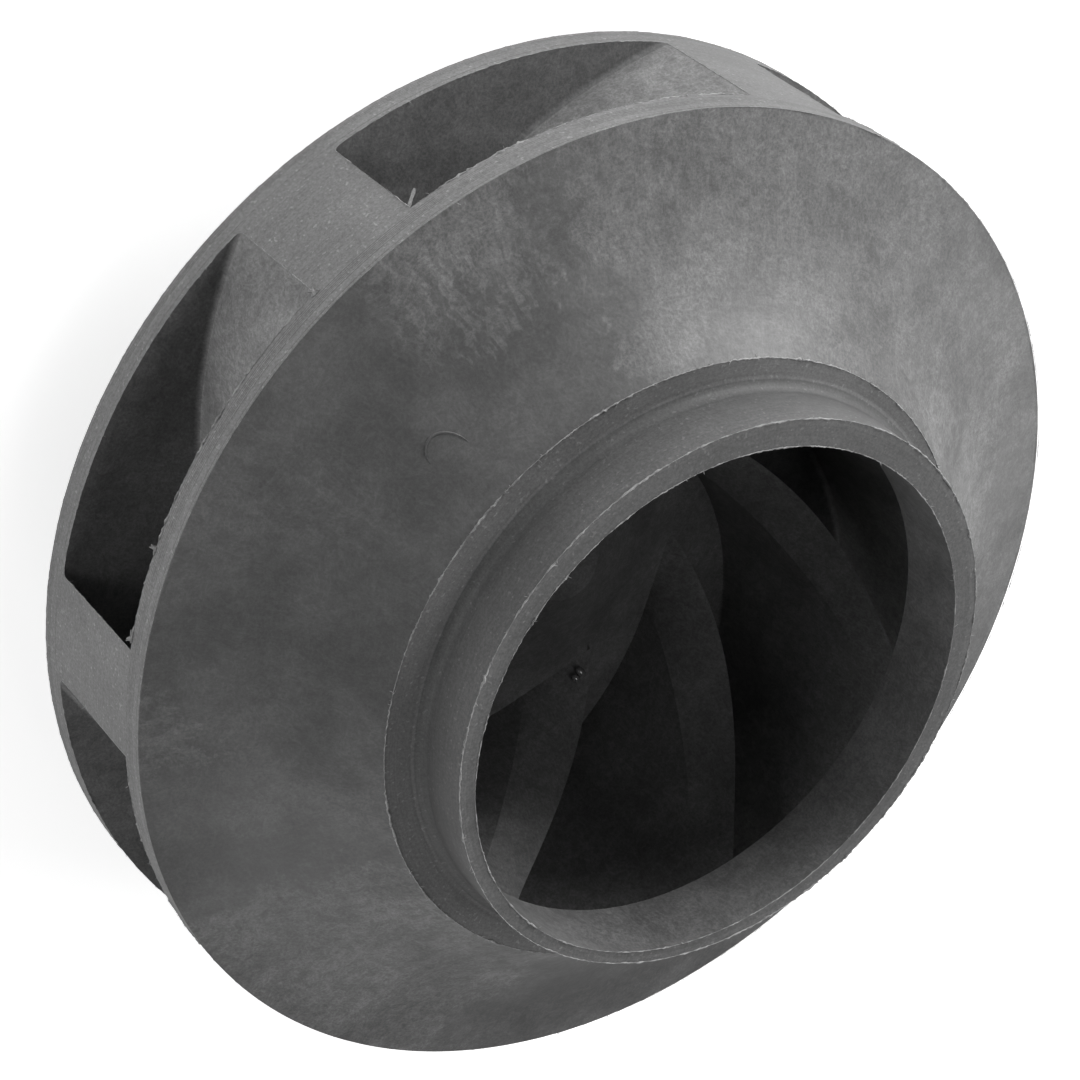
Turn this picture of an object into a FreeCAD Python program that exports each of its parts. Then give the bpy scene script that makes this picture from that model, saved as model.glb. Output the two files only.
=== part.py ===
import FreeCAD, Part
import math
import os

# Closed pump impeller, moulded in one piece and then turned.
# Millimetres. +Z runs along the axis from the shaft side to the eye.
# The origin is the centre of the rear hub's end face, which seats on the shaft.

# Turned sizes
outer_radius = 70.0        # both shrouds' rims
back_shroud = 3.6          # thickness of the back shroud
outlet_width = 18.9        # clear height of the outlet windows
front_rim = 3.8            # height of the front shroud's rim
shoulder_rise = 15.4       # from the front rim's edge to the shoulder face
neck_radius = 39.5         # running land of the neck
neck_length = 9.1          # from the shoulder face to the front face
neck_bevel = 0.9           # where the neck meets the shoulder

# Rear hub and its tapped hole
boss_radius = 17.0
boss_length = 16.0
boss_bevel = 2.0           # where the rear hub meets the back shroud
boss_chamfer = 0.8
thread_radius = 8.0        # nominal radius of the M16 thread
thread_depth = 22.0
thread_chamfer = 1.0

# Moulded skin of the front shroud, a concave flare
shoulder_radius = 43.6     # where the skin is faced off at the shoulder
skin_rim_slope = 12.0      # degrees from flat at the rim
skin_shift = (-1.1, -0.3)  # how far the skin lies off the turned axis

# Waterway inside
eye_radius = 36.75         # at the front face
throat_radius = 37.1       # at the lip, where the eye opens into the passages
lip_depth = 10.7           # from the front face to the lip
roof_knee_radius = 54.0    # where the roof steepens towards the lip
roof_knee_rise = 6.5       # height of the knee above the roof's edge at the rim
nose_radius = 4.75         # flat end of the hub inside
nose_height = 9.7          # above the floor of the passages
hub_foot_radius = 31.5     # where the hub's curve runs out into the floor
hub_round = 31.0           # radius of that curve, seen in section
core_shift = (-0.2, -1.0)  # how far the waterway lies off the turned axis

# Vanes
vane_count = 7
vane_spread = 12.0         # degrees of the circle that a vane takes up at the rim
vane_heading = 142.3       # degrees, middle of the first vane at the rim
inlet_height = 31.4        # from the floor to where the leading edges meet the roof
# Each side of a vane is a spiral that crosses the circles at one angle, in degrees.
# It twists from the floor up: values at the floor, half way and under the roof.
front_angle = (29.0, 25.4, 26.4)
front_inlet = (22.0, 35.0, 41.4)  # radius where the front side ends at the leading edge
rear_angle = (29.7, 26.8, 23.5)
rear_inlet = (25.2, 34.6, 43.7)   # the same for the rear side
vane_sections = 5

stock = 3.0                # how far cutters and blanks run past the finished part
spiral_points = 9

# Heights worked out from the sizes
back_z = boss_length
floor_z = back_z + back_shroud
roof_z = floor_z + outlet_width
rim_z = roof_z + front_rim
shoulder_z = rim_z + shoulder_rise
front_z = shoulder_z + neck_length
lip_z = front_z - lip_depth
nose_z = floor_z + nose_height


def point(radius, height):
    """A point of a profile, in the XZ plane."""
    return FreeCAD.Vector(radius, 0, height)


def line(start, end):
    return Part.LineSegment(start, end).toShape()


def tangent_point(outside, centre, radius):
    """Where a line from the point outside touches the circle, on its lower side."""
    away = outside - centre
    heading = math.atan2(away.z, away.x) + math.acos(radius / away.Length)
    return point(centre.x + radius * math.cos(heading), centre.z + radius * math.sin(heading))


def arc_with_slope(start, end, slope):
    """Arc from start to end that leaves start at the given angle from flat."""
    chord = end - start
    turn = math.atan2(abs(chord.z), abs(chord.x)) - math.radians(slope)
    sagitta = chord.Length / 2 * math.tan(turn / 2)
    normal = FreeCAD.Vector(chord.z, 0, -chord.x).normalize()
    middle = (start + end) * 0.5 - normal * sagitta * math.copysign(1, normal.z)
    return Part.Arc(start, middle, end).toShape()


def arc_about(start, centre, end):
    """Shorter arc from start to end of the circle about centre."""
    away = ((start + end) * 0.5 - centre).normalize()
    return Part.Arc(start, centre + away * (start - centre).Length, end).toShape()


def revolved(edges, shift=(0.0, 0.0)):
    """Solid of revolution about an axis that may lie off the turned one."""
    face = Part.Face(Part.Wire(edges))
    solid = face.revolve(FreeCAD.Vector(0, 0, 0), FreeCAD.Vector(0, 0, 1), 360)
    solid.translate(FreeCAD.Vector(shift[0], shift[1], 0))
    return solid


def closed_path(points):
    return [line(a, b) for a, b in zip(points, points[1:] + points[:1])]


def turned_envelope():
    """Everything the lathe leaves: rear hub, back face, rims, shoulder and neck."""
    return revolved(closed_path([
        point(0, 0),
        point(boss_radius - boss_chamfer, 0),
        point(boss_radius, boss_chamfer),
        point(boss_radius, back_z - boss_bevel),
        point(boss_radius + boss_bevel, back_z),
        point(outer_radius, back_z),
        point(outer_radius, shoulder_z),
        point(neck_radius + neck_bevel, shoulder_z),
        point(neck_radius, shoulder_z + neck_bevel),
        point(neck_radius, front_z),
        point(0, front_z),
    ]))


def moulded_skin():
    """Blank under the flared skin of the front shroud, before turning."""
    rim = point(outer_radius, rim_z)
    shoulder = point(shoulder_radius, shoulder_z)
    flare = arc_with_slope(rim, shoulder, skin_rim_slope)
    rim_tangent = math.radians(skin_rim_slope)
    overhang = point(outer_radius + stock, rim_z - stock * math.tan(rim_tangent))
    chord_slope = math.atan2(shoulder_rise, outer_radius - shoulder_radius)
    neck_tangent = 2 * chord_slope - rim_tangent
    rise = (shoulder_radius - neck_radius) / 2
    collar = point(shoulder_radius - rise, shoulder_z + rise * math.tan(neck_tangent))
    return revolved([
        line(point(0, -stock), point(outer_radius + stock, -stock)),
        line(point(outer_radius + stock, -stock), overhang),
        line(overhang, rim),
        flare,
        line(shoulder, collar),
        line(collar, point(collar.x, front_z + stock)),
        line(point(collar.x, front_z + stock), point(0, front_z + stock)),
        line(point(0, front_z + stock), point(0, -stock)),
    ], skin_shift)


def cavity():
    """Space inside the impeller: eye, throat and the gap between the shrouds."""
    nose = point(nose_radius, nose_z)
    hub_foot = point(hub_foot_radius, floor_z)
    hub_centre = point(hub_foot_radius, floor_z + hub_round)
    hub_shoulder = tangent_point(nose, hub_centre, hub_round)
    knee = point(roof_knee_radius, roof_z + roof_knee_rise)
    roof_slope = roof_knee_rise / (outer_radius - roof_knee_radius)
    path = closed_path([
        hub_foot,
        point(outer_radius + stock, floor_z),
        point(outer_radius + stock, roof_z - stock * roof_slope),
        knee,
        point(throat_radius, lip_z),
        point(eye_radius, front_z),
        point(eye_radius, front_z + stock),
        point(0, front_z + stock),
        point(0, nose_z),
        nose,
        hub_shoulder,
    ])
    path[-1] = arc_about(hub_shoulder, hub_centre, hub_foot)
    return revolved(path, core_shift)


def between(values, share):
    """Smooth curve through the values at the floor, half way and the roof."""
    low, middle, high = values
    return (low * (1 - share) * (1 - 2 * share) + middle * 4 * share * (1 - share)
            + high * share * (2 * share - 1))


def spiral(heading, angle, inner, height):
    """One side of a vane at one height, from beyond the rim to the leading edge."""
    outer = outer_radius + stock
    rate = math.tan(math.radians(angle))
    points = []
    for step in range(spiral_points):
        radius = outer * (inner / outer) ** (step / (spiral_points - 1))
        turn = math.radians(heading) + math.log(outer_radius / radius) / rate
        points.append(FreeCAD.Vector(radius * math.cos(turn), radius * math.sin(turn), height))
    curve = Part.BSplineCurve()
    curve.interpolate(points)
    return curve.toShape(), points[0], points[-1]


def vane_section(share):
    """Outline of a vane at a share of the way from the floor to the roof."""
    height = floor_z + share * inlet_height
    front, front_tip, front_end = spiral(vane_heading + vane_spread / 2,
                                         between(front_angle, share),
                                         between(front_inlet, share), height)
    rear, rear_tip, rear_end = spiral(vane_heading - vane_spread / 2,
                                      between(rear_angle, share),
                                      between(rear_inlet, share), height)
    return Part.Wire([front, line(front_end, rear_end), rear, line(rear_tip, front_tip)])


def vane():
    """One vane, a little longer and taller than the space it stands in."""
    below = -back_shroud / 2 / inlet_height
    above = 1 + stock / inlet_height
    shares = [below + (above - below) * index / (vane_sections - 1)
              for index in range(vane_sections)]
    return Part.makeLoft([vane_section(share) for share in shares], True)


def vanes():
    """All the vanes, evenly spaced about the waterway's own axis."""
    first = vane()
    pitch = 360.0 / vane_count
    blades = []
    for index in range(vane_count):
        blade = first.copy()
        blade.rotate(FreeCAD.Vector(0, 0, 0), FreeCAD.Vector(0, 0, 1), index * pitch)
        blade.translate(FreeCAD.Vector(core_shift[0], core_shift[1], 0))
        blades.append(blade)
    return blades


def tapped_hole():
    mouth = thread_radius + thread_chamfer
    return revolved(closed_path([
        point(0, -stock),
        point(mouth + stock, -stock),
        point(mouth, 0),
        point(thread_radius, thread_chamfer),
        point(thread_radius, thread_depth),
        point(0, thread_depth),
    ]))


def impeller():
    blank = turned_envelope().common(moulded_skin())
    waterway = cavity().cut(vanes())
    body = blank.cut(waterway)
    body = body.cut(tapped_hole())
    return body.removeSplitter()


def save(shape, name):
    os.makedirs("parts", exist_ok=True)
    shape.exportStep("parts/" + name + ".step")
    print(name, "valid", shape.isValid(), "solids", len(shape.Solids),
          "faces", len(shape.Faces), "volume %.0f mm3" % shape.Volume)


save(impeller(), "impeller")
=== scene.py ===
import math
import random
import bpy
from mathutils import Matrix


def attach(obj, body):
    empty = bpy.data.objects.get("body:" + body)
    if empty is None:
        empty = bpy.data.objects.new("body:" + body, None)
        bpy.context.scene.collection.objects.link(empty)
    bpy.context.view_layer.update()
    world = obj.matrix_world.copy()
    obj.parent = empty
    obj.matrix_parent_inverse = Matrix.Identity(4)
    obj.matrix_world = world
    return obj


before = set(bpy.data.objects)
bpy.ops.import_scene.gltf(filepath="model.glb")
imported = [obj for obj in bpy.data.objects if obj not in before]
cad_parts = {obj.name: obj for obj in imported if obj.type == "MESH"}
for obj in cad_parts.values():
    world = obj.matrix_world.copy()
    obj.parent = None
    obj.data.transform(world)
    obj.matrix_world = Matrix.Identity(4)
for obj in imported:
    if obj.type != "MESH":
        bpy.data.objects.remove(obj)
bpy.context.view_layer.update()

from types import SimpleNamespace

import bpy
from mathutils import Matrix, Vector, noise

# Closed pump impeller of glass-fibre-filled plastic, moulded in one piece and then turned.
# Metres, +Z from the shaft side to the eye, as in the frame.
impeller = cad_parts["impeller"]
MM = 0.001
UP = Vector((0.0, 0.0, 1.0))

# Sizes of the part, the same as its solid's
RIM_RADIUS = 70.0 * MM
BACK_Z = 16.0 * MM
FLOOR_Z = 19.6 * MM
ROOF_Z = 38.5 * MM
ROOF_SLOPE = 6.5 / 16.0
RIM_Z = 42.3 * MM
SHOULDER_Z = 57.7 * MM
FRONT_Z = 66.8 * MM
NECK_RADIUS = 39.5 * MM
SHOULDER_RADIUS = 43.6 * MM
SKIN_SHIFT = Vector((-1.1, -0.3, 0.0)) * MM
SKIN_RIM_SLOPE = math.radians(12.0)
EYE_RADIUS = 36.75 * MM
BORE_FOOT_Z = 53.5 * MM
CORE_SHIFT = Vector((-0.2, -1.0, 0.0)) * MM

# Vanes: a side crosses the circles at one angle, which changes from floor to roof
VANE_COUNT = 7
VANE_SPREAD = 12.0
VANE_HEADING = 142.3
INLET_HEIGHT = 31.4 * MM
FRONT_ANGLE = (29.0, 25.4, 26.4)
REAR_ANGLE = (29.7, 26.8, 23.5)

# Details that the solid leaves out. The round at a vane's root fades out towards the hub.
THREAD_RADIUS = 8.0 * MM
THREAD_CREST = 6.95 * MM
THREAD_PITCH = 2.0 * MM
THREAD_END = 21.4 * MM
THREAD_FLANK = 0.92 * MM
THREAD_FLAT = 0.14 * MM
ROOT_PARTS = 8
ROOT_FILLET = 0.9 * MM
ROOT_END = 34.5 * MM
ROOT_FADE = 12.0 * MM
ROOT_RADII = [radius * MM for radius in range(68, 34, -1)]
NECK_FILLET = 1.6 * MM

# Torn edges: how far apart the points of a bead are, and how thick a shred is along its length
BEAD_STEP = 0.28 * MM
SHRED_SIZES = [0.05 * MM, 0.045 * MM, 0.035 * MM, 0.015 * MM]

# The camera, at the photograph's viewing angle
CAMERA_PLACE = Vector((-0.26396, 0.14143, 0.33000))
CAMERA_RIGHT = Vector((0.75666, 0.33959, 0.55869))
CAMERA_UP = Vector((-0.03794, 0.87590, -0.48101))
CAMERA_LENS = 104.98
CAMERA_SHIFT = (-0.1411, 0.0955)

# Scales all the lamps and the sky together
LIGHT_LEVEL = 0.87

# The circle on which the grain that runs round or outward is laid out
GRAIN_RADIUS = 60.0 * MM

# How light the plastic is in each zone
SKIN_TONE = 0.124
# The rim's tone is partly painted light, raised so that its sides come out lighter
RIM_TONE = 0.250
# Painted light: the shoulder face is set lighter than the other turned faces, standing in for light
# where the neck shades it
SHOULDER_TONE = 0.166
TURNED_TONE = 0.120
INNER_TONE = 0.145
# Painted light: upright faces towards the outlets are painted lighter, as if lit from the side
OUTLET_PAINTED_LIGHT_TONE = 0.245
BORE_TONE = 0.120

# Flow marks of the moulded skin: from and to in degrees clockwise from +Y, how soft those
# ends are, from and to in millimetres off the axis, how light it is, and how streaky.
# A mark that reaches SKIN_FROM or SKIN_TO has no end there.
SKIN_FROM = 40
SKIN_TO = 72
FLOW_MARKS = [
    (-33, 100, 1, SKIN_FROM, SKIN_TO, 1.10, 0.25),
    (183, 227, 2, SKIN_FROM, SKIN_TO, 1.18, 0.5),
    (146, 183, 4, SKIN_FROM, 62, 0.90, 0.2),
    (30, 88, 5, SKIN_FROM, 58, 1.08, 0.0),
    (-33, -12, 1, SKIN_FROM, 54, 1.10, 0.2),
    (-32, -8, 4, 58, SKIN_TO, 1.03, 0.7),
    (228, 327, 2, SKIN_FROM, SKIN_TO, 0.88, 0.15),
    (304, 325, 2, 58, SKIN_TO, 1.22, 1.0),
    (248, 258, 1.5, 61, SKIN_TO, 1.16, 0.9),
    (233, 249, 4, 44, 60, 1.08, 0.1),
    (278, 288, 3, 54, SKIN_TO, 1.06, 0.4),
    (289, 303, 3, 58, SKIN_TO, 0.94, 0.1),
    (60, 98, 5, 60, SKIN_TO, 0.90, 0.0),
    (48, 55, 2, 60, 68, 1.08, 0.3),
]

# Hairlines that the tool left in the rims, by height in millimetres
RIM_LINES = [16.6, 16.9, 17.2, 18.8, 39.1, 39.4, 39.75, 40.0, 40.25, 40.6, 41.8]


def make_camera():
    data = bpy.data.cameras.new("camera")
    data.sensor_width = 36.0
    data.lens = CAMERA_LENS
    data.shift_x, data.shift_y = CAMERA_SHIFT
    camera = bpy.data.objects.new("camera", data)
    bpy.context.scene.collection.objects.link(camera)
    right = CAMERA_RIGHT.normalized()
    back = right.cross(CAMERA_UP).normalized()
    up = back.cross(right)
    turn = Matrix((right, up, back)).transposed().to_4x4()
    camera.matrix_world = Matrix.Translation(CAMERA_PLACE) @ turn
    bpy.context.scene.camera = camera


class Graph:
    """Short calls that add shader nodes to one material or world."""

    def __init__(self, tree):
        self.tree = tree

    def node(self, kind, **settings):
        made = self.tree.nodes.new(kind)
        for key, value in settings.items():
            setattr(made, key, value)
        return made

    def feed(self, socket, value):
        if isinstance(value, bpy.types.NodeSocket):
            self.tree.links.new(value, socket)
        elif value is not None:
            socket.default_value = value

    def math(self, operation, first, second=None, third=None):
        made = self.node("ShaderNodeMath", operation=operation)
        for socket, value in zip(made.inputs, (first, second, third)):
            self.feed(socket, value)
        return made.outputs[0]

    def vector(self, x, y, z):
        made = self.node("ShaderNodeCombineXYZ")
        for socket, value in zip(made.inputs, (x, y, z)):
            self.feed(socket, value)
        return made.outputs[0]

    def split(self, vector):
        made = self.node("ShaderNodeSeparateXYZ")
        self.feed(made.inputs[0], vector)
        return made.outputs

    def shifted(self, vector, offset, amount):
        """The vector moved by the offset times the amount."""
        made = self.node("ShaderNodeVectorMath", operation="MULTIPLY_ADD")
        for socket, value in zip(made.inputs, (offset, (amount,) * 3, vector)):
            self.feed(socket, value)
        return made.outputs[0]

    def step(self, value, low, high):
        """0 at low, 1 at high, smooth between them."""
        made = self.node("ShaderNodeMapRange", interpolation_type="SMOOTHSTEP")
        for name, given in (("Value", value), ("From Min", low), ("From Max", high)):
            self.feed(made.inputs[name], given)
        return made.outputs["Result"]

    def noise(self, vector, scale, detail, roughness=0.6, output="Fac"):
        made = self.node("ShaderNodeTexNoise")
        for name, given in (("Vector", vector), ("Scale", scale), ("Detail", detail),
                            ("Roughness", roughness)):
            self.feed(made.inputs[name], given)
        return made.outputs[output]

    def ridges(self, value, width):
        """Thin threads where a noise passes its middle."""
        return self.step(self.math("ABSOLUTE", self.minus(value, 0.5)), width, 0.0)

    def mix(self, share, first, second):
        """Plain numbers mixed by share."""
        made = self.node("ShaderNodeMix", data_type="FLOAT")
        for socket, value in zip((made.inputs[0], *made.inputs[2:4]), (share, first, second)):
            self.feed(socket, value)
        return made.outputs[0]

    def grey(self, tone):
        made = self.node("ShaderNodeCombineColor")
        for socket in made.inputs:
            self.feed(socket, tone)
        return made.outputs[0]

    def minus(self, first, second):
        return self.math("SUBTRACT", first, second)

    def most(self, first, second):
        return self.math("MAXIMUM", first, second)

    def times(self, *values):
        product = values[0]
        for value in values[1:]:
            product = self.math("MULTIPLY", product, value)
        return product

    def plus(self, *values):
        total = values[0]
        for value in values[1:]:
            total = self.math("ADD", total, value)
        return total


def new_material(name):
    material = bpy.data.materials.new(name)
    material.use_nodes = True
    graph = Graph(material.node_tree)
    shader = material.node_tree.nodes["Principled BSDF"]
    return material, graph, shader


def over_roof(g, radius, z):
    """1 on the flared skin, 0 on the roof of the waterway below it."""
    reach = RIM_RADIUS - SHOULDER_RADIUS
    straight = reach * math.tan(SKIN_RIM_SLOPE)
    curved = SHOULDER_Z - RIM_Z - straight
    share = g.math("DIVIDE", g.minus(RIM_RADIUS, radius), reach)
    rise = g.plus(g.times(share, straight), g.times(share, share, curved))
    return g.step(g.minus(z, rise), RIM_Z - 2.0 * MM, RIM_Z - 1.8 * MM)


def flow_marks(g, degrees, radius, place, streaks):
    """Tone and streakiness of the skin's marks, with ragged borders."""
    coarse = g.minus(g.noise(place, 75.0, 1.0), 0.5)
    ragged = g.minus(g.noise(place, 380.0, 2.0, 0.75), 0.5)
    sway = g.plus(g.times(coarse, 20.0), g.times(ragged, 13.0))
    bent = g.plus(degrees, sway)
    bent_round = g.math("WRAP", bent, 360.0, 0.0)
    reach = g.plus(radius, g.times(sway, -0.8 * MM), g.times(g.minus(streaks, 0.5), 16.0 * MM))
    tone = g.plus(1.0, g.times(coarse, 0.25))
    streaky = 0.0
    for start, end, soft, inner, outer, change, streak in FLOW_MARKS:
        middle = (start + end) / 2
        half = (end - start) / 2
        off = g.math("ABSOLUTE", g.minus(bent_round if end > 180 else bent, middle))
        inside = g.step(off, half + soft, half - soft)
        if inner > SKIN_FROM:
            inside = g.times(inside, g.step(reach, (inner - 1.0) * MM, (inner + 1.0) * MM))
        if outer < SKIN_TO:
            inside = g.times(inside, g.step(reach, (outer + 1.0) * MM, (outer - 1.0) * MM))
        tone = g.times(tone, g.mix(inside, 1.0, change))
        if streak:
            streaky = g.most(streaky, g.times(inside, streak))
    return tone, streaky


def rim_hairlines(g, z, patchy, ragged_by):
    """Darkens the rim along the tool's hairlines, which come and go."""
    level = g.plus(z, g.times(g.minus(ragged_by, 0.5), 0.10 * MM),
                   g.times(g.minus(patchy, 0.5), 0.12 * MM))
    dark = 0.0
    for height in RIM_LINES:
        off = g.math("ABSOLUTE", g.minus(level, height * MM))
        dark = g.most(dark, g.step(off, 0.07 * MM, 0.02 * MM))
    return g.mix(g.times(dark, g.step(patchy, 0.32, 0.48)), 1.0, 0.60)


def zones(g, radius, z):
    """Places on the part: 1 inside each zone, 0 outside it."""
    skin = g.times(g.step(z, SHOULDER_Z - 0.02 * MM, SHOULDER_Z - 0.08 * MM),
                   g.step(z, RIM_Z - 0.1 * MM, RIM_Z), over_roof(g, radius, z))
    rim = g.step(radius, RIM_RADIUS - 0.08 * MM, RIM_RADIUS - 0.03 * MM)
    back = g.step(z, BACK_Z + 0.2 * MM, BACK_Z + 0.1 * MM)
    collar = g.times(g.step(z, SHOULDER_Z - 0.08 * MM, SHOULDER_Z - 0.02 * MM),
                     g.step(radius, NECK_RADIUS - 1.1 * MM, NECK_RADIUS - 0.7 * MM))
    front = g.step(z, FRONT_Z - 0.05 * MM, FRONT_Z - 0.02 * MM)
    shoulder = g.step(z, SHOULDER_Z + 0.12 * MM, SHOULDER_Z + 0.02 * MM)
    neck = g.times(collar, g.minus(1.0, shoulder))
    turned = g.most(g.most(rim, back), g.most(collar, front))
    bore = g.times(g.step(z, BORE_FOOT_Z - 0.5 * MM, BORE_FOOT_Z + 0.5 * MM),
                   g.minus(1.0, turned))
    facing = g.split(g.node("ShaderNodeNewGeometry").outputs["Normal"])
    # Upright faces towards the outlets, which the waterway's tone paints lighter as painted light
    upright = g.step(g.math("ABSOLUTE", facing[2]), 0.45, 0.15)
    outlet = g.times(upright, g.step(radius, 46.0 * MM, 58.0 * MM))
    return SimpleNamespace(skin=skin, rim=rim, shoulder=shoulder, neck=neck, turned=turned,
                           bore=bore, outlet=outlet)


def grains(g, place, radius, z):
    """Noises of the plastic, those that run round or outward laid on one circle."""
    x, y, _ = g.split(place)
    round_x = g.math("DIVIDE", g.times(x, GRAIN_RADIUS), radius)
    round_y = g.math("DIVIDE", g.times(y, GRAIN_RADIUS), radius)
    bend = g.noise(place, 170.0, 0.0, output="Color")
    curl = g.noise(place, 520.0, 0.0, output="Color")

    # Glass fibres, seen as light threads that curl outward and across
    outward_place = g.vector(round_x, round_y, g.times(radius, 0.30))
    across_place = g.vector(g.times(round_x, 0.30), g.times(round_y, 0.30), radius)
    outward = g.noise(g.shifted(outward_place, bend, 5.0 * MM), 1500.0, 1.0)
    across = g.noise(g.shifted(across_place, bend, 5.0 * MM), 1500.0, 1.0)
    threads = g.most(g.ridges(outward, 0.07), g.ridges(across, 0.07))

    felt = g.noise(place, 2600.0, 2.0, 0.8)
    pits = g.noise(place, 2000.0, 0.0)
    clouds = g.noise(place, 95.0, 1.0, 0.7)
    blotches = g.noise(g.shifted(place, curl, 1.5 * MM), 620.0, 2.0, 0.7)
    streak_place = g.vector(round_x, round_y, g.times(radius, 0.20))
    streaks = g.noise(g.shifted(streak_place, curl, 1.6 * MM), 820.0, 2.0, 0.6)
    lines = g.noise(g.vector(g.times(round_x, 0.02), radius, z), 3400.0, 1.0, 0.7)
    fine = g.mix(g.step(felt, 0.28, 0.72), 0.80, 1.20)
    mottle = g.times(fine, g.mix(threads, 0.95, 1.14),
                     g.mix(g.step(blotches, 0.34, 0.66), 0.88, 1.12))
    return SimpleNamespace(felt=felt, pits=pits, clouds=clouds, blotches=blotches,
                           streaks=streaks, lines=lines, fine=fine, mottle=mottle)


def skin_tone(g, grain, degrees, radius, place):
    """Moulded skin, with its flow marks. The lighter they are, the richer its mottling."""
    marks, streaky = flow_marks(g, degrees, radius, place, grain.streaks)
    rich = g.mix(g.step(marks, 0.85, 1.20), 0.60, 1.15)
    streaked = g.mix(g.step(grain.streaks, 0.38, 0.62), 0.87, 1.13)
    return g.times(SKIN_TONE, marks,
                   g.mix(g.step(grain.clouds, 0.36, 0.64), 0.87, 1.13),
                   g.mix(streaky, 1.0, streaked),
                   g.plus(1.0, g.times(g.minus(grain.mottle, 1.0), rich)))


def turned_tone(g, zone, grain, degrees, z):
    """Turned faces. The rim is painted paler away from its top, and the neck painted darker towards
    its foot: painted light and shade.
    """
    # Painted light: the rim is painted lighter away from its top, standing in for light on its
    # sides, and darker at its top
    from_top = g.math("ABSOLUTE", g.math("WRAP", g.minus(degrees, 20.0), 180.0, -180.0))
    rim_tone_and_painted_light = g.times(g.mix(g.step(from_top, 30.0, 62.0), 0.80 * RIM_TONE, RIM_TONE),
                       rim_hairlines(g, z, grain.clouds, ragged_by=grain.felt))
    # Painted shade: the neck is painted darker towards its foot, in the corner it makes with the
    # shoulder
    neck_painted_shade_tone = g.times(TURNED_TONE, g.mix(g.step(z, SHOULDER_Z + 1.0 * MM, FRONT_Z), 0.76, 1.14))
    # The shoulder face takes its lighter tone, which is painted light
    face_tone = g.mix(zone.shoulder, g.mix(zone.neck, TURNED_TONE, neck_painted_shade_tone), SHOULDER_TONE)
    # Light specks where the cutter has pulled a fibre out
    speck = g.step(grain.pits, 0.73, 0.79)
    return g.times(g.mix(zone.rim, face_tone, rim_tone_and_painted_light),
                   grain.fine,
                   g.mix(g.step(grain.lines, 0.3, 0.7), 0.93, 1.06),
                   g.mix(g.step(grain.clouds, 0.35, 0.65), 0.95, 1.05),
                   g.mix(g.step(grain.blotches, 0.35, 0.65), 0.96, 1.04),
                   g.mix(speck, 1.0, 1.45))


def inner_tone(g, zone, grain):
    """Waterway, with painted light on the upright faces near the outlets, and darker in the eye's
    bore.
    """
    return g.times(g.mix(zone.bore, g.mix(zone.outlet, INNER_TONE, OUTLET_PAINTED_LIGHT_TONE), BORE_TONE),
                   grain.mottle,
                   g.mix(g.step(grain.clouds, 0.35, 0.65), 0.88, 1.12))


def plastic_material():
    """Moulded skin, turned faces and the waterway, told apart by place."""
    material, g, shader = new_material("glass_filled_plastic")
    place = g.node("ShaderNodeTexCoord").outputs["Object"]
    x, y, z = g.split(place)
    radius = g.math("SQRT", g.plus(g.times(x, x), g.times(y, y)))
    degrees = g.math("DEGREES", g.math("ARCTAN2", x, y))
    zone = zones(g, radius, z)
    grain = grains(g, place, radius, z)
    cut_or_inner = g.mix(zone.turned, inner_tone(g, zone, grain),
                         turned_tone(g, zone, grain, degrees, z))
    tone = g.mix(zone.skin, cut_or_inner, skin_tone(g, grain, degrees, radius, place))
    g.feed(shader.inputs["Base Color"], g.grey(tone))
    g.feed(shader.inputs["Roughness"],
           g.plus(g.mix(zone.turned, 0.42, 0.52), g.times(grain.felt, 0.25)))

    bump = g.node("ShaderNodeBump")
    g.feed(bump.inputs["Strength"], 0.4)
    g.feed(bump.inputs["Distance"], 0.05 * MM)
    g.feed(bump.inputs["Height"], grain.pits)
    g.feed(shader.inputs["Normal"], bump.outputs[0])
    return material


def burr_material():
    """Whitened plastic where a cutter has torn the edge."""
    material, g, shader = new_material("torn_edge")
    place = g.node("ShaderNodeTexCoord").outputs["Object"]
    patches = g.noise(place, 900.0, 2.0)
    g.feed(shader.inputs["Base Color"], g.grey(g.mix(g.step(patches, 0.35, 0.65), 0.22, 0.42)))
    g.feed(shader.inputs["Roughness"], 0.7)
    return material


def drop_material():
    """Glossy drop, with a trace of dust on it."""
    material, g, shader = new_material("resin_drop")
    dust = g.noise(g.node("ShaderNodeTexCoord").outputs["Object"], 2500.0, 2.0)
    g.feed(shader.inputs["Base Color"], g.grey(g.mix(dust, 0.13, 0.20)))
    g.feed(shader.inputs["Roughness"], g.mix(g.step(dust, 0.4, 0.7), 0.06, 0.14))
    g.feed(shader.inputs["IOR"], 2.0)
    g.feed(shader.inputs["Specular IOR Level"], 1.0)
    return material


def mesh_piece(name, points, faces, material, smooth=True):
    mesh = bpy.data.meshes.new(name)
    mesh.from_pydata(points, [], faces)
    mesh.materials.append(material)
    mesh.polygons.foreach_set("use_smooth", [smooth] * len(mesh.polygons))
    mesh.update()
    piece = bpy.data.objects.new(name, mesh)
    bpy.context.scene.collection.objects.link(piece)
    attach(piece, "root")
    return piece


def strip(rows, verts, faces, closed=False):
    """Joins rows of points, each to the next, into a smooth strip."""
    base = len(verts)
    width = len(rows[0])
    for row in rows:
        verts.extend(row)
    spans = len(rows) if closed else len(rows) - 1
    for i in range(spans):
        j = (i + 1) % len(rows)
        for k in range(width - 1):
            faces.append((base + i * width + k, base + i * width + k + 1,
                          base + j * width + k + 1, base + j * width + k))


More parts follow.
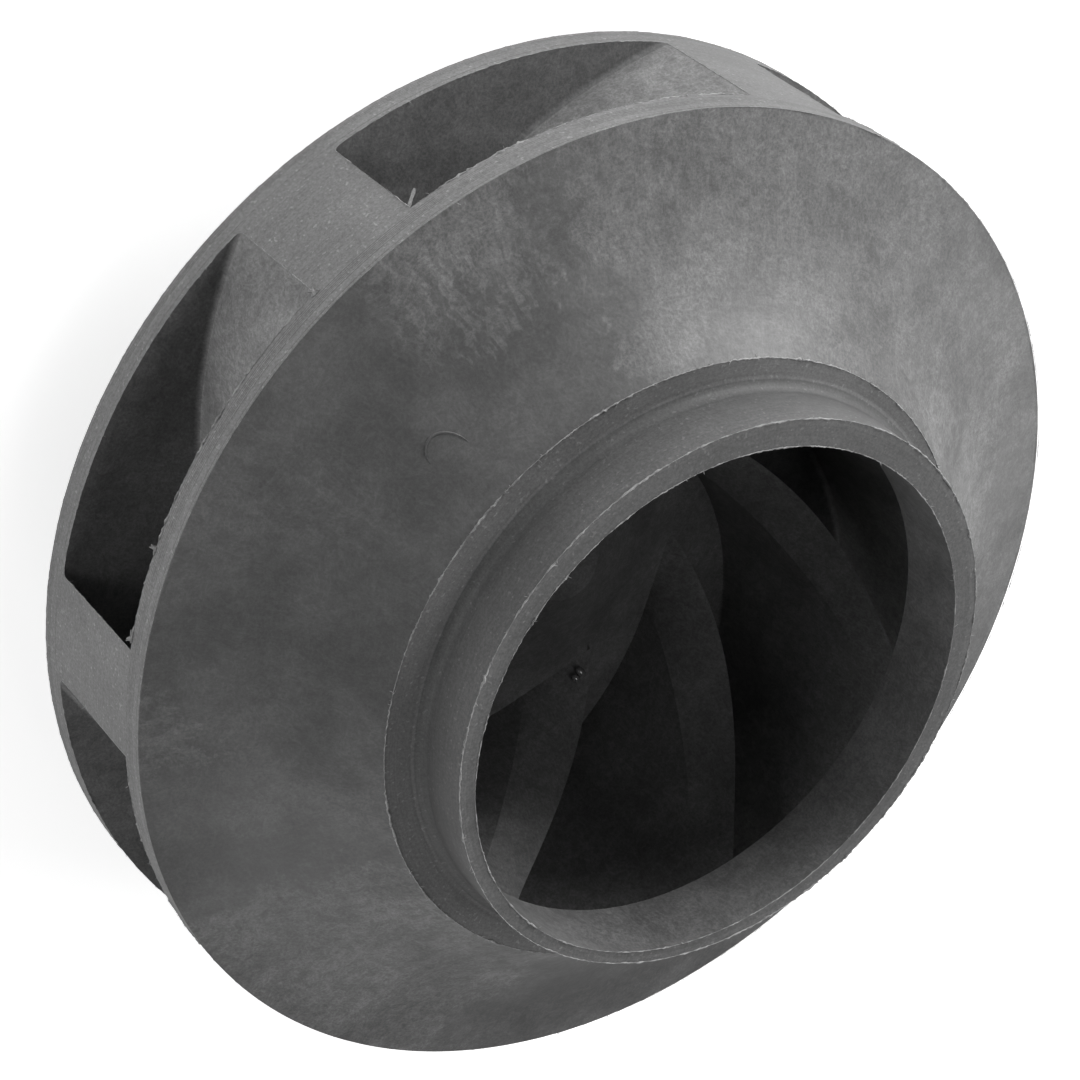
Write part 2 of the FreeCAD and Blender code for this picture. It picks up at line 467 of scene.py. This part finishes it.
def tube(points, sizes, verts, faces, closed=False, sides=5):
    """Thin tube along the points, with its radius at each."""
    base = len(verts)
    count = len(points)
    for i, at in enumerate(points):
        ahead = points[(i + 1) % count] if closed or i + 1 < count else at
        behind = points[i - 1] if closed or i > 0 else at
        run = (ahead - behind).normalized()
        lead = UP if abs(run.z) < 0.9 else Vector((at.x, at.y, 0.0)).normalized()
        side = run.cross(lead).normalized()
        other = run.cross(side)
        for k in range(sides):
            turn = 2 * math.pi * k / sides
            verts.append(at + (side * math.cos(turn) + other * math.sin(turn)) * sizes[i])
    for i in range(count if closed else count - 1):
        j = (i + 1) % count
        for k in range(sides):
            m = (k + 1) % sides
            faces.append((base + i * sides + k, base + i * sides + m,
                          base + j * sides + m, base + j * sides + k))
    if not closed:
        faces.append(tuple(reversed(range(base, base + sides))))
        faces.append(tuple(range(base + (count - 1) * sides, base + count * sides)))


def evenly(points, closed, gap):
    """The same line with points about a gap apart."""
    ends = points + points[:1] if closed else points
    line = []
    for a, b in zip(ends, ends[1:]):
        parts = max(1, round((b - a).length / gap))
        line.extend(a.lerp(b, part / parts) for part in range(parts))
    return line if closed else line + [points[-1]]


def torn_line(points, thick, shreds, draw, verts, faces, closed=True):
    """Ragged bead along an edge, with a few shreds that stand off it."""
    line = evenly(points, closed, BEAD_STEP)
    sizes = []
    for i, at in enumerate(line):
        patch = noise.noise(at * 300.0) + 0.7 * noise.noise(at * 1100.0)
        sizes.append(thick * min(2.2, max(0.35, 0.8 + 1.4 * patch + draw.uniform(-0.3, 0.3))))
        jog = Vector([draw.uniform(-1, 1) for axis in range(3)])
        line[i] = at + jog * sizes[i] * 0.6
    tube(line, sizes, verts, faces, closed)
    for _ in range(shreds):
        at = draw.choice(line)
        away = Vector((at.x, at.y, 0.0)).normalized()
        drift = Vector([draw.uniform(-1, 1) for axis in range(3)])
        run = (away * draw.uniform(-0.6, 0.6) + UP * draw.uniform(0.1, 0.8) + drift).normalized()
        curl = Vector([draw.uniform(-1, 1) for axis in range(3)]) * 0.5
        length = draw.uniform(0.2, 0.6) * MM
        path = [at + (run * t + curl * t * t) * length for t in (0, 0.35, 0.7, 1.0)]
        tube(path, SHRED_SIZES, verts, faces, sides=4)


def circle(radius, height, shift=Vector((0, 0, 0))):
    turns = [math.radians(degree) for degree in range(360)]
    return [Vector((radius * math.cos(t), radius * math.sin(t), height)) + shift for t in turns]


def between(values, share):
    """Smooth curve through the values at the floor, half way and the roof."""
    low, middle, high = values
    return (low * (1 - share) * (1 - 2 * share) + middle * 4 * share * (1 - share)
            + high * share * (2 * share - 1))


def vane_point(index, side, share, radius):
    """Point on a vane's front (+1) or rear (-1) side, radius from the waterway's axis."""
    angle = between(FRONT_ANGLE if side > 0 else REAR_ANGLE, share)
    heading = VANE_HEADING + side * VANE_SPREAD / 2 + index * 360.0 / VANE_COUNT
    turn = math.radians(heading) + math.log(RIM_RADIUS / radius) / math.tan(math.radians(angle))
    height = FLOOR_Z + share * INLET_HEIGHT
    return Vector((radius * math.cos(turn), radius * math.sin(turn), height)) + CORE_SHIFT


def rim_point(index, side, share):
    """Where a vane's side meets the turned rim at a share of the vane's height."""
    radius = RIM_RADIUS
    for _ in range(4):
        at = vane_point(index, side, share, radius)
        radius += RIM_RADIUS - math.hypot(at.x, at.y)
    return vane_point(index, side, share, radius)


def roof_height(at):
    """Height of the waterway's roof at a point near the rim."""
    reach = math.hypot(at.x - CORE_SHIFT.x, at.y - CORE_SHIFT.y)
    return ROOF_Z + (RIM_RADIUS - reach) * ROOF_SLOPE


def root_profile(index, side, radius):
    """Concave round between the floor and a vane's side at a radius."""
    size = ROOT_FILLET * min(1.0, (radius - ROOT_END) / ROOT_FADE)
    foot = vane_point(index, side, 0.0, radius)
    wall = vane_point(index, side, size / INLET_HEIGHT, radius)
    along = vane_point(index, side, 0.0, radius * 0.99) - foot
    away = along.cross(UP).normalized() * side
    toe = foot + away * size
    sink = UP * 0.01 * MM
    row = []
    for part in range(ROOT_PARTS):
        t = part / (ROOT_PARTS - 1)
        row.append(toe * (1 - t) ** 2 + foot * 2 * t * (1 - t) + wall * t * t - sink * (1 - t))
    return row


def root_at_rim(index, side):
    """The same round where it runs out through the turned rim."""
    row = []
    for k in range(ROOT_PARTS):
        radius = RIM_RADIUS
        for _ in range(6):
            at = root_profile(index, side, radius)[k]
            radius += RIM_RADIUS - math.hypot(at.x, at.y)
        row.append(at)
    return row


def arc_on_rim(start, end):
    """Points round the rim between two points on it."""
    parts = 40
    first = math.atan2(start.y, start.x)
    sweep = (math.atan2(end.y, end.x) - first + math.pi) % (2 * math.pi) - math.pi
    return [Vector((RIM_RADIUS * math.cos(first + sweep * k / parts),
                    RIM_RADIUS * math.sin(first + sweep * k / parts),
                    start.z + (end.z - start.z) * k / parts)) for k in range(1, parts)]


def window_outline(index):
    """Edge of the outlet window after a vane, once round, and its front part alone."""
    left = root_at_rim(index, 1)
    right = root_at_rim(index + 1, -1)
    outline = list(reversed(left)) + arc_on_rim(left[0], right[0]) + right
    top = (ROOF_Z - FLOOR_Z) / INLET_HEIGHT
    sides = []
    for vane, side in ((index + 1, -1), (index, 1)):
        corner = rim_point(vane, side, top)
        share = (roof_height(corner) - FLOOR_Z) / INLET_HEIGHT
        rise = [rim_point(vane, side, share * k / 8) for k in range(1, 9)]
        sides.append(rise)
    top_edge = arc_on_rim(sides[0][-1], sides[1][-1])
    outline += sides[0] + top_edge + list(reversed(sides[1]))
    return outline, top_edge


def edge_burrs(material):
    """Torn edges round the shoulder, the neck, the eye and the rims."""
    # Name, edge, thickness of the bead in millimetres, and number of shreds
    rings = [
        ("shoulder_burr", circle(SHOULDER_RADIUS, SHOULDER_Z, SKIN_SHIFT), 0.095, 170),
        ("neck_burr", circle(NECK_RADIUS, FRONT_Z), 0.095, 80),
        ("eye_burr", circle(EYE_RADIUS, FRONT_Z, CORE_SHIFT), 0.07, 60),
        ("front_rim_burr", circle(RIM_RADIUS, RIM_Z), 0.03, 20),
        ("back_rim_burr", circle(RIM_RADIUS, BACK_Z), 0.03, 10),
    ]
    for seed, (name, points, thick, shreds) in enumerate(rings):
        verts, faces = [], []
        torn_line(points, thick * MM, shreds, random.Random(seed), verts, faces)
        mesh_piece(name, verts, faces, material)


def window_burrs(material):
    """Torn edges of the outlet windows, thicker along their front."""
    draw = random.Random(11)
    verts, faces = [], []
    for index in range(VANE_COUNT):
        outline, top_edge = window_outline(index)
        torn_line(outline, 0.055 * MM, 20, draw, verts, faces)
        torn_line(top_edge, 0.105 * MM, 14, draw, verts, faces, closed=False)
    mesh_piece("window_burrs", verts, faces, material)


def root_fillets(material):
    """Rounds where the vanes rise from the floor, out to the rim."""
    verts, faces = [], []
    for index in range(VANE_COUNT):
        for side in (1, -1):
            rim = root_at_rim(index, side)
            rows = [rim] + [root_profile(index, side, radius) for radius in ROOT_RADII]
            strip([row[::-side] for row in rows], verts, faces)
            base = len(verts)
            verts.extend([rim_point(index, side, 0.0)] + rim[::side])
            faces.extend((base, base + k, base + k + 1) for k in range(1, len(rim)))
    mesh_piece("root_fillets", verts, faces, material)


def neck_fillet(material):
    """Round between the shoulder face and the neck."""
    parts = 240
    steps = 8
    lift = 0.005 * MM
    rows = []
    for part in range(parts):
        turn = 2 * math.pi * part / parts
        away = Vector((math.cos(turn), math.sin(turn), 0.0))
        row = []
        for k in range(steps + 1):
            bend = math.pi / 2 * k / steps
            out = NECK_RADIUS + NECK_FILLET * (1 - math.sin(bend)) + lift
            rise = SHOULDER_Z + NECK_FILLET * (1 - math.cos(bend)) + lift
            row.append(away * out + UP * rise)
        rows.append(row[::-1])
    verts, faces = [], []
    strip(rows, verts, faces, closed=True)
    mesh_piece("neck_fillet", verts, faces, material)


def shaft_thread(material):
    """Helical ridge of the tapped hole in the rear hub."""
    rows = []
    parts = 48
    turns = (THREAD_END - THREAD_PITCH) / THREAD_PITCH
    count = int(turns * parts)
    for i in range(count + 1):
        turn = 2 * math.pi * i / parts
        height = THREAD_PITCH * (0.7 + i / parts)
        away = Vector((math.cos(turn), math.sin(turn), 0.0))
        fade = min(1.0, i / 16, (count - i) / 16)
        crest = THREAD_RADIUS - (THREAD_RADIUS - THREAD_CREST) * fade
        wall = THREAD_RADIUS + 0.05 * MM
        rows.append([away * wall + UP * (height - THREAD_FLANK),
                     away * crest + UP * (height - THREAD_FLAT),
                     away * crest + UP * (height + THREAD_FLAT),
                     away * wall + UP * (height + THREAD_FLANK)])
    verts, faces = [], []
    strip(rows, verts, faces)
    mesh_piece("shaft_thread", verts, faces, material, smooth=False)


def edge_stub(material):
    """Stub of a shred that stands across the corner of a window, in millimetres."""
    foot = Vector((-50.8, 47.5, 38.3))
    lean = Vector((0.50, 0.53, -0.69))
    path = [(foot + lean * reach) * MM for reach in (-0.3, 0.9, 1.9, 2.9, 3.8, 4.6)]
    sizes = [size * MM for size in (0.34, 0.27, 0.31, 0.26, 0.33, 0.20)]
    verts, faces = [], []
    tube(path, sizes, verts, faces, sides=4)
    mesh_piece("edge_stub", verts, faces, material, smooth=False)


def loose_burrs(material):
    """Crumbs that hang on the windows' front edges, at degrees clockwise from +Y."""
    draw = random.Random(5)
    verts, faces = [], []
    for turn in (271.7, 262.2, 301.5):
        for _ in range(7):
            at = math.radians(turn + draw.uniform(-0.45, 0.45))
            away = Vector((math.sin(at), math.cos(at), 0.0))
            root = away * RIM_RADIUS + UP * (ROOF_Z + 0.25 * MM)
            lean = away * draw.uniform(-0.2, 0.5) - UP + away.cross(UP) * draw.uniform(-0.8, 0.8)
            reach = draw.uniform(0.5, 1.0) * MM
            path = [root, root + lean * reach * 0.6, root + lean * reach]
            tube(path, [0.20 * MM, draw.uniform(0.14, 0.24) * MM, 0.07 * MM], verts, faces, sides=5)
    mesh_piece("loose_burrs", verts, faces, material, smooth=False)


def skin_height(at):
    """Height of the moulded flare at a point, an arc between the rim and the shoulder."""
    reach = math.hypot(at.x - SKIN_SHIFT.x, at.y - SKIN_SHIFT.y)
    chord = Vector((RIM_RADIUS - SHOULDER_RADIUS, SHOULDER_Z - RIM_Z))
    turn = math.atan2(chord.y, chord.x) - SKIN_RIM_SLOPE
    bend = chord.length / 2 / math.sin(turn)
    centre_x = RIM_RADIUS + bend * math.sin(SKIN_RIM_SLOPE)
    centre_z = RIM_Z + bend * math.cos(SKIN_RIM_SLOPE)
    return centre_z - math.sqrt(bend * bend - (reach - centre_x) ** 2)


def crescent_mark(material):
    """Small raised crescent in the skin, open towards the neck."""
    centre = Vector((-43.7, 23.8, 0.0)) * MM
    across = Vector((2.75, 0.0, 0.0)) * MM
    along = Vector((0.0, 2.45, 0.0)) * MM
    parts = 30
    path, sizes = [], []
    for k in range(parts + 1):
        turn = math.radians(60 + 160 * k / parts)
        at = centre + across * math.cos(turn) + along * math.sin(turn)
        at.z = skin_height(at) + 0.06 * MM
        path.append(at)
        sizes.append(0.19 * MM * math.sin(math.pi * (k + 1) / (parts + 2)))
    verts, faces = [], []
    tube(path, sizes, verts, faces, sides=6)
    mesh_piece("crescent_mark", verts, faces, material)


def resin_drop(material):
    """Glossy double drop at the foot of a vane in the eye."""
    length = Vector((0.83, -0.56, 0.0)) * 1.25
    width = Vector((0.56, 0.83, 0.0)) * 0.70
    height = UP * 0.8
    rings = 8
    sides = 16
    verts, faces = [], []
    for at, size in ((Vector((15.06, -20.32, 22.15)), 0.95), (Vector((14.2, -21.1, 22.65)), 0.75)):
        top = len(verts)
        verts.extend([(at + height * size) * MM, (at - height * size) * MM])
        first = top + 2
        last = first + (rings - 2) * sides
        for i in range(1, rings):
            lift = math.pi * i / rings
            for k in range(sides):
                turn = 2 * math.pi * k / sides
                reach = (length * math.cos(turn) + width * math.sin(turn)) * math.sin(lift)
                verts.append((at + (reach + height * math.cos(lift)) * size) * MM)
        for k in range(sides):
            m = (k + 1) % sides
            faces.append((top, first + k, first + m))
            faces.append((top + 1, last + m, last + k))
            for row in range(first, last, sides):
                faces.append((row + k, row + sides + k, row + sides + m, row + m))
    mesh_piece("resin_drop", verts, faces, material)


def make_world():
    """White to the camera, and a faint even sky for the light."""
    world = bpy.data.worlds.new("studio")
    bpy.context.scene.world = world
    world.use_nodes = True
    g = Graph(world.node_tree)
    plain = world.node_tree.nodes["Background"]
    g.feed(plain.inputs["Strength"], 0.06 * LIGHT_LEVEL)
    g.feed(plain.inputs["Color"], (1.0, 1.0, 1.0, 1.0))
    white = g.node("ShaderNodeBackground")
    g.feed(white.inputs["Strength"], 1.0)
    path = g.node("ShaderNodeLightPath")
    mix = g.node("ShaderNodeMixShader")
    g.feed(mix.inputs[0], path.outputs["Is Camera Ray"])
    g.feed(mix.inputs[1], plain.outputs[0])
    g.feed(mix.inputs[2], white.outputs[0])
    g.feed(world.node_tree.nodes["World Output"].inputs["Surface"], mix.outputs[0])


def area_light(name, place, aim, size, power):
    data = bpy.data.lights.new(name, "AREA")
    data.shape = "DISK"
    data.size = size
    data.energy = power
    lamp = bpy.data.objects.new(name, data)
    lamp.location = place
    lamp.rotation_mode = "QUATERNION"
    lamp.rotation_quaternion = (Vector(aim) - Vector(place)).to_track_quat("-Z", "Y")
    bpy.context.scene.collection.objects.link(lamp)


def make_lights():
    """Soft lamps, a metre off: degrees from +Y towards -X, degrees up, and watts."""
    lamps = {
        "key": (335, 15, 13.5),
        "fill": (90, 8, 4.4),
        "side": (270, 28, 4.1),
        "low": (180, 28, 3.0),
        "top": (0, 85, 1.1),
    }
    centre = Vector((0.0, 0.0, 0.035))
    for name, (turn, rise, power) in lamps.items():
        turn, rise = math.radians(turn), math.radians(rise)
        away = Vector((-math.sin(turn) * math.cos(rise), math.cos(turn) * math.cos(rise),
                       math.sin(rise)))
        area_light(name, centre + away, centre, 0.55, power * LIGHT_LEVEL)


def make_floor():
    """Pale floor that the camera sees as white, and that keeps the part's shadow."""
    mesh = bpy.data.meshes.new("floor")
    reach = 3.0
    corners = [(-reach, -reach, 0), (reach, -reach, 0), (reach, reach, 0), (-reach, reach, 0)]
    mesh.from_pydata(corners, [], [(0, 1, 2, 3)])
    floor = bpy.data.objects.new("floor", mesh)
    floor.location.z = -0.05 * MM
    bpy.context.scene.collection.objects.link(floor)
    material, g, shader = new_material("pale_floor")
    g.feed(shader.inputs["Base Color"], (0.8, 0.8, 0.8, 1.0))
    g.feed(shader.inputs["Roughness"], 0.9)
    g.feed(shader.inputs["Emission Color"], (1.0, 1.0, 1.0, 1.0))
    seen = g.node("ShaderNodeLightPath").outputs["Is Camera Ray"]
    g.feed(shader.inputs["Emission Strength"], g.times(seen, 0.7))
    mesh.materials.append(material)


bpy.context.scene.view_settings.view_transform = "Standard"
make_camera()
make_world()
make_lights()
make_floor()
plastic = plastic_material()
torn = burr_material()
impeller.data.materials.clear()
impeller.data.materials.append(plastic)
edge_burrs(torn)
window_burrs(torn)
loose_burrs(plastic)
edge_stub(plastic)
root_fillets(plastic)
neck_fillet(plastic)
shaft_thread(plastic)
crescent_mark(plastic)
resin_drop(drop_material())
